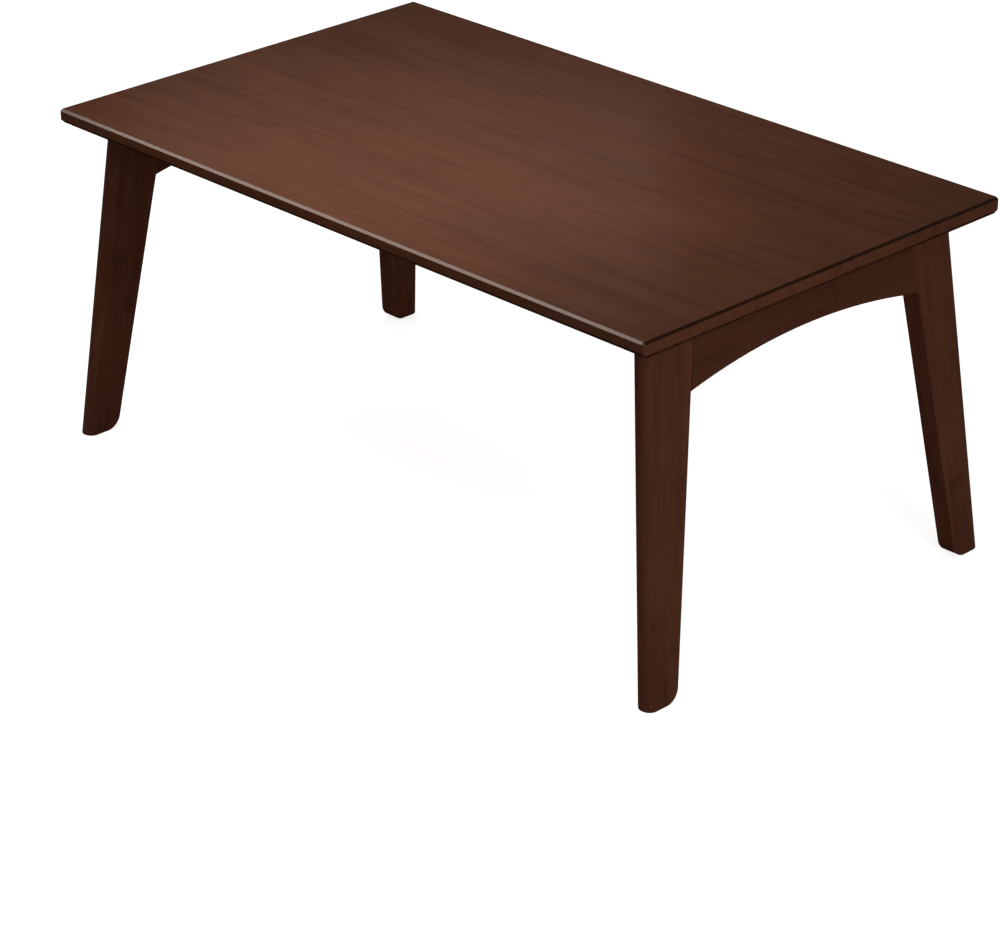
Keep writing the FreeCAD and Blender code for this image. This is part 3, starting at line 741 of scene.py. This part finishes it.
def make_floor():
    """A floor that looks white, bounces little light, and is clear when seen from below."""
    bpy.ops.object.select_all(action="DESELECT")
    bpy.ops.mesh.primitive_plane_add(size=FLOOR_SIZE, location=(0, 0, FLOOR_HEIGHT))
    floor = bpy.context.object
    floor.name = "studio_floor"
    material = bpy.data.materials.new("studio_floor_pale")
    material.use_nodes = True
    tree = material.node_tree
    tree.nodes.clear()
    output = tree.nodes.new("ShaderNodeOutputMaterial")
    pale = tree.nodes.new("ShaderNodeAddShader")
    feed_all(tree, pale, (
        plain_shader(tree, "ShaderNodeBsdfDiffuse", Color=FLOOR_WHITE),
        plain_shader(tree, "ShaderNodeEmission", Color=PURE_WHITE, Strength=FLOOR_GLOW)))
    bounce = plain_shader(tree, "ShaderNodeBsdfDiffuse", Color=FLOOR_BOUNCE)
    upper = mixed_shader(tree, seen_directly(tree), bounce, pale.outputs[0])
    lower = plain_shader(tree, "ShaderNodeBsdfTransparent")
    facing = tree.nodes.new("ShaderNodeNewGeometry")
    both = mixed_shader(tree, facing.outputs["Backfacing"], upper, lower)
    feed(tree, output.inputs["Surface"], both)
    floor.data.materials.append(material)


def make_world():
    """Even light from all round, with a white background where it is seen directly."""
    world = bpy.data.worlds.new("studio_air")
    world.use_nodes = True
    bpy.context.scene.world = world
    tree = world.node_tree
    air = tree.nodes["Background"]
    air.inputs["Color"].default_value = AIR_TINT
    air.inputs["Strength"].default_value = AIR_LEVEL
    shown = plain_shader(tree, "ShaderNodeBackground", Color=PURE_WHITE, Strength=1)
    choice = mixed_shader(tree, seen_directly(tree), air.outputs[0], shown)
    feed(tree, tree.nodes["World Output"].inputs["Surface"], choice)


# Lamps

WHITE = (1.0, 1.0, 1.0)
WARM = (1.0, 0.88, 0.8)
AMBER = (1.0, 0.84, 0.72)

# Places and sizes in metres, power in watts, spread in degrees
LAMPS = (
    {"name": "pool_lamp", "place": (-0.05, -0.30, 1.25), "target": (-0.05, -0.15, 0.36),
     "width": 0.4, "height": 0.4, "power": 0.78, "spread": 60, "colour": WHITE},
    {"name": "pool_edge_lamp", "place": (-0.10, -0.17, 0.98), "target": (0.05, -0.16, 0.36),
     "width": 0.4, "height": 0.4, "power": 0.3, "spread": 110, "colour": WHITE},
    {"name": "bevel_lamp", "place": (-1.03, -0.819, 1.31), "target": (-1.03, -0.24, 0.36),
     "width": 1.2, "height": 0.09, "power": 2.0, "spread": 180, "colour": AMBER},
    {"name": "sheen_lamp", "place": (-1.37, 1.11, 1.10), "target": (0.00, -0.15, 0.36),
     "width": 0.8, "height": 0.35, "power": 2.9, "spread": 180, "colour": WARM},
    {"name": "right_fill", "place": (1.60, -0.38, 0.56), "target": (0.35, -0.02, 0.36),
     "width": 0.6, "height": 0.5, "power": 1.65, "spread": 90, "colour": WHITE},
    {"name": "front_fill", "place": (0.00, -2.00, 0.80), "target": (0.00, -0.24, 0.35),
     "width": 0.8, "height": 0.4, "power": 0.9, "spread": 180, "colour": WHITE},
    {"name": "under_lamp", "place": (0.00, 0.00, 0.012), "target": (0.00, 0.00, 0.36),
     "width": 0.5, "height": 0.28, "power": 0.66, "spread": 84, "colour": WHITE},
)


def soft_lamp(name, place, target, width, height, power, spread, colour):
    """A soft box that faces its target; its width lies level."""
    data = bpy.data.lights.new(name, "AREA")
    data.shape = "RECTANGLE"
    data.size = width
    data.size_y = height
    data.energy = power
    data.spread = math.radians(spread)
    data.color = colour
    lamp = bpy.data.objects.new(name, data)
    bpy.context.scene.collection.objects.link(lamp)
    lamp.location = place
    facing = Vector(target) - Vector(place)
    lamp.rotation_euler = facing.to_track_quat("-Z", "Y").to_euler()


# Camera

CAMERA_AZIMUTH = math.radians(45.681)
CAMERA_ELEVATION = math.radians(26.237)
CAMERA_BACK = 3.3233
CAMERA_RIGHT = -0.01395
CAMERA_UP = -0.3122
SENSOR_WIDTH = 36
LENS = 124.15
NEAR = 0.1
FAR = 100


def make_camera():
    """The camera of the photograph, found from the lengths and directions of the table's edges."""
    level = math.cos(CAMERA_ELEVATION)
    back = Vector((math.sin(CAMERA_AZIMUTH) * level, -math.cos(CAMERA_AZIMUTH) * level,
                   math.sin(CAMERA_ELEVATION)))
    right = Vector((math.cos(CAMERA_AZIMUTH), math.sin(CAMERA_AZIMUTH), 0))
    up = back.cross(right)
    data = bpy.data.cameras.new("photo_camera")
    data.sensor_width = SENSOR_WIDTH
    data.lens = LENS
    data.clip_start = NEAR
    data.clip_end = FAR
    camera = bpy.data.objects.new("photo_camera", data)
    bpy.context.scene.collection.objects.link(camera)
    middle = Vector((0, 0, TOP_HIGH.z))
    camera.location = middle + back * CAMERA_BACK + right * CAMERA_RIGHT + up * CAMERA_UP
    camera.rotation_euler = Matrix((right, up, back)).transposed().to_euler()
    bpy.context.scene.camera = camera


make_floor()
make_world()
for lamp in LAMPS:
    soft_lamp(**lamp)
make_camera()
bpy.context.scene.view_settings.view_transform = "Standard"

bpy.context.view_layer.update()
